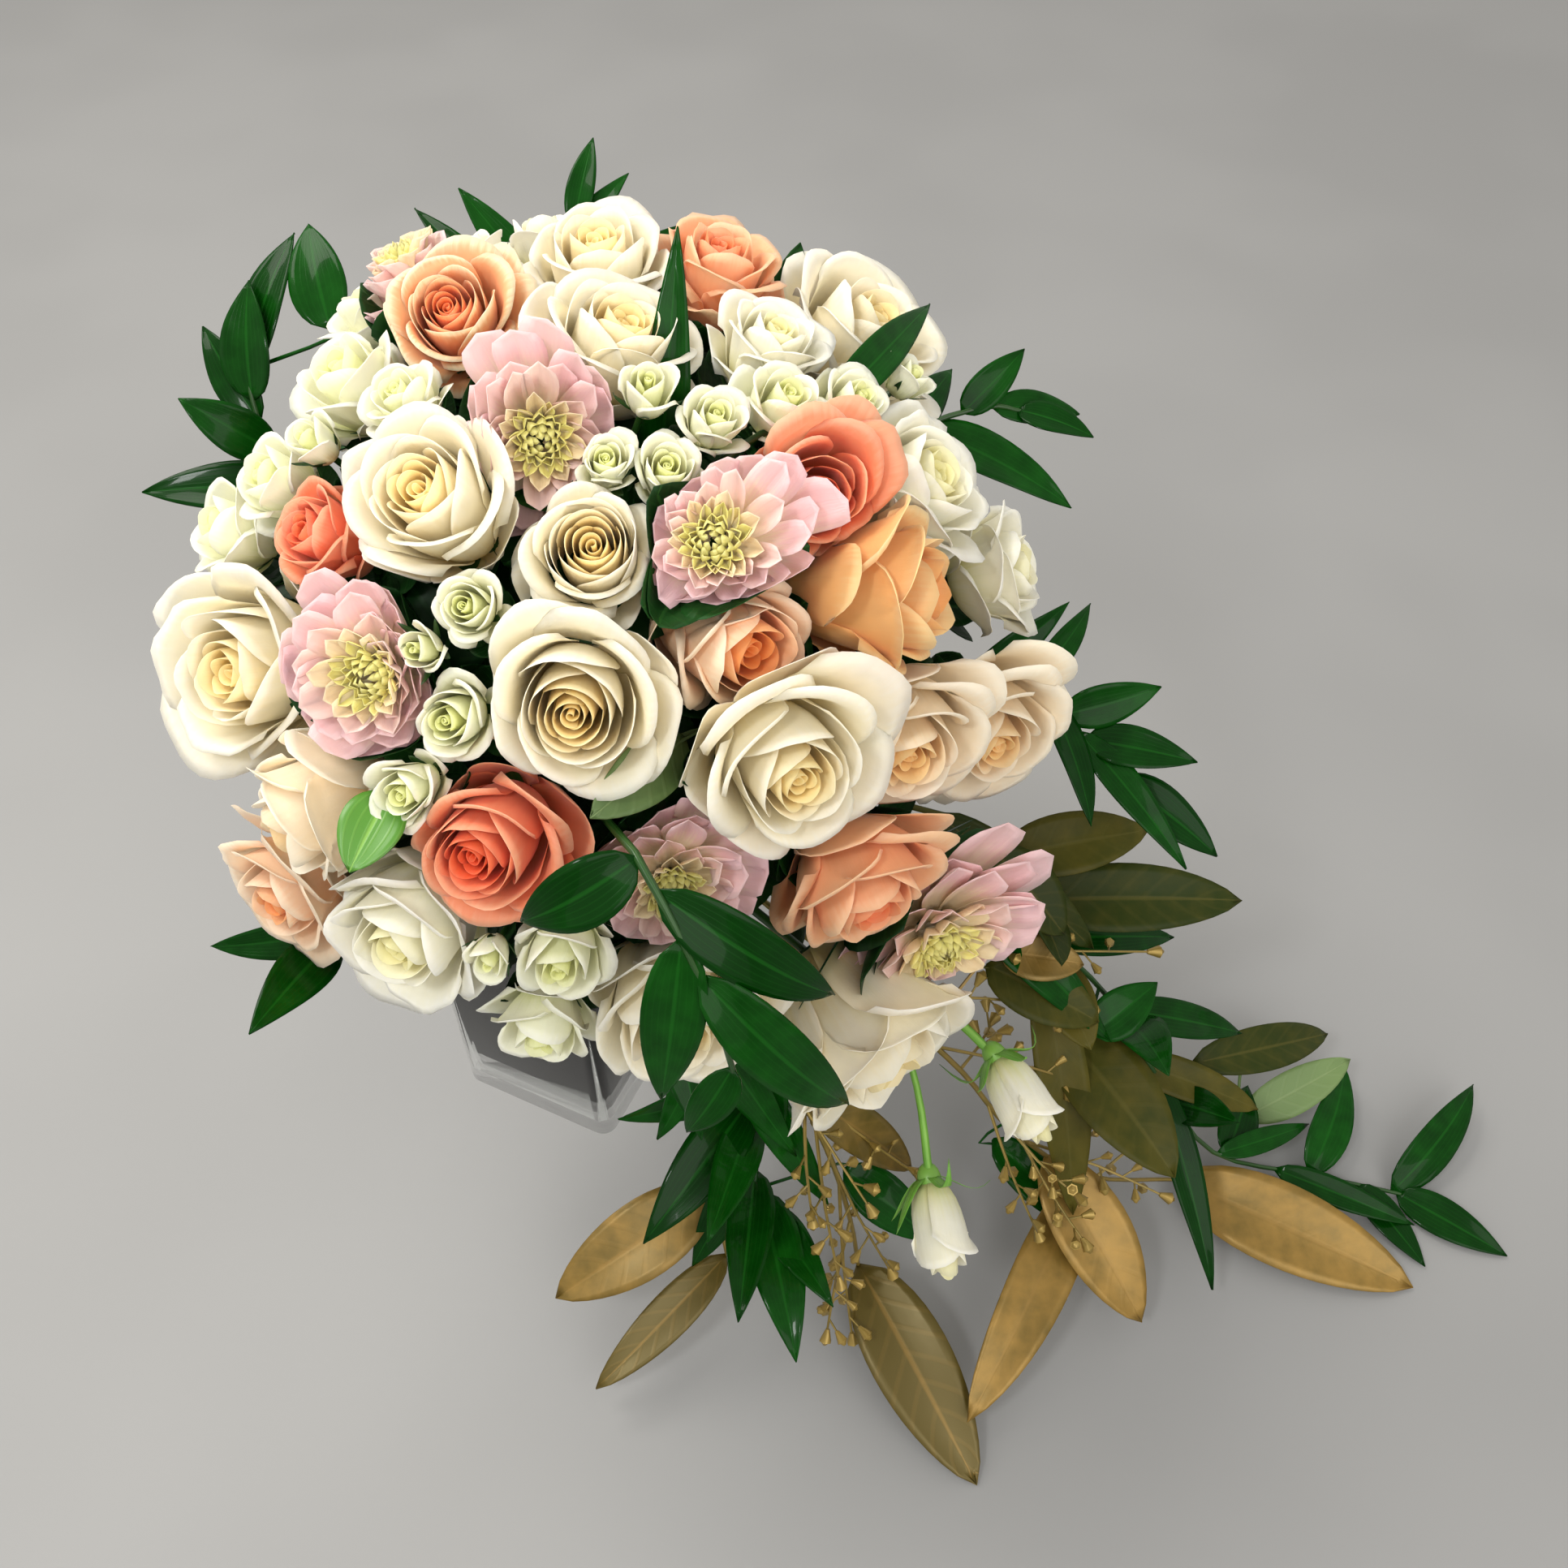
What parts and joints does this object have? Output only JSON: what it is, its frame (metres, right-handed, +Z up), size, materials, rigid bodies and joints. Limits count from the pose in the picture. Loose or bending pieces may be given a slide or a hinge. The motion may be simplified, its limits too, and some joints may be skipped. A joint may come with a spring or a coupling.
{
  "type": "cascading rose bouquet in a glass vase",
  "caption": "Domed cascade bouquet of roses, dahlias and spray roses with trailing leafy stems, held by a foam holder in a tall square clear glass vase.",
  "frame": {"origin": "middle of the vase's flat underside, on the table", "axes": "+X to the viewer's right, where the cascade trails; +Y away from the viewer; +Z up"},
  "size_m": [0.7, 0.458, 0.546],
  "materials": {
    "ivory_petal": "soft matte petals",
    "white_petal": "soft matte petals",
    "blush_petal": "soft matte petals",
    "peach_petal": "soft matte petals",
    "coral_petal": "soft matte petals",
    "pink_petal": "soft matte petals",
    "lime_petal": "soft matte petals",
    "ruscus_leaf": "glossy leaf",
    "olive_leaf": "satin leaf",
    "gold_leaf": "satin painted leaf",
    "clear_glass": "clear polished",
    "holder_plastic": "moulded plastic",
    "wet_foam": "fine-pored wet foam"
  },
  "bodies": {
    "root": {"dahlia_centre": "pink_petal", "dahlia_left": "pink_petal", "dahlia_low": "pink_petal", "dahlia_right": "pink_petal", "dahlia_top_left": "pink_petal", "dahlia_upper": "pink_petal", "eucalyptus_gold_front": "gold_leaf", "eucalyptus_gold_left": "gold_leaf", "eucalyptus_gold_right": "gold_leaf", "eucalyptus_olive": "olive_leaf", "foam": "wet_foam", "holder": "holder_plastic", "rose_blush_far_right": "blush_petal", "rose_blush_right": "blush_petal", "rose_coral_left": "coral_petal", "rose_coral_low": "coral_petal", "rose_coral_right": "coral_petal", "rose_cream_edge": "white_petal", "rose_ivory_back": "ivory_petal", "rose_ivory_centre": "ivory_petal", "rose_ivory_left": "ivory_petal", "rose_ivory_left_middle": "ivory_petal", "rose_ivory_low": "ivory_petal", "rose_ivory_lower_middle": "ivory_petal", "rose_ivory_right_middle": "ivory_petal", "rose_ivory_top": "ivory_petal", "rose_ivory_trail": "ivory_petal", "rose_ivory_upper": "ivory_petal", "rose_ivory_upper_middle": "ivory_petal", "rose_ivory_upper_right": "ivory_petal", "rose_orange_right": "peach_petal", "rose_peach_centre": "peach_petal", "rose_peach_low_left": "peach_petal", "rose_peach_low_right": "peach_petal", "rose_peach_side": "blush_petal", "rose_peach_upper": "peach_petal", "rose_peach_upper_left": "peach_petal", "rose_white_low_left": "white_petal", "rose_white_ruffled": "white_petal", "rosebuds_trail": "white_petal", "ruscus_collar": "ruscus_leaf", "ruscus_dome": "ruscus_leaf", "ruscus_front": "ruscus_leaf", "ruscus_front_low": "ruscus_leaf", "ruscus_left": "ruscus_leaf", "ruscus_low_left": "ruscus_leaf", "ruscus_right": "ruscus_leaf", "ruscus_right_high": "ruscus_leaf", "ruscus_top": "ruscus_leaf", "ruscus_trail": "ruscus_leaf", "spray_back_left": "white_petal", "spray_back_right": "peach_petal", "spray_left": "lime_petal", "spray_left_middle": "lime_petal", "spray_low": "lime_petal", "spray_top": "white_petal", "spray_upper": "lime_petal", "spray_upper_left": "lime_petal", "spray_upper_right": "lime_petal", "vase": "clear_glass"}
  },
  "joints": []
}
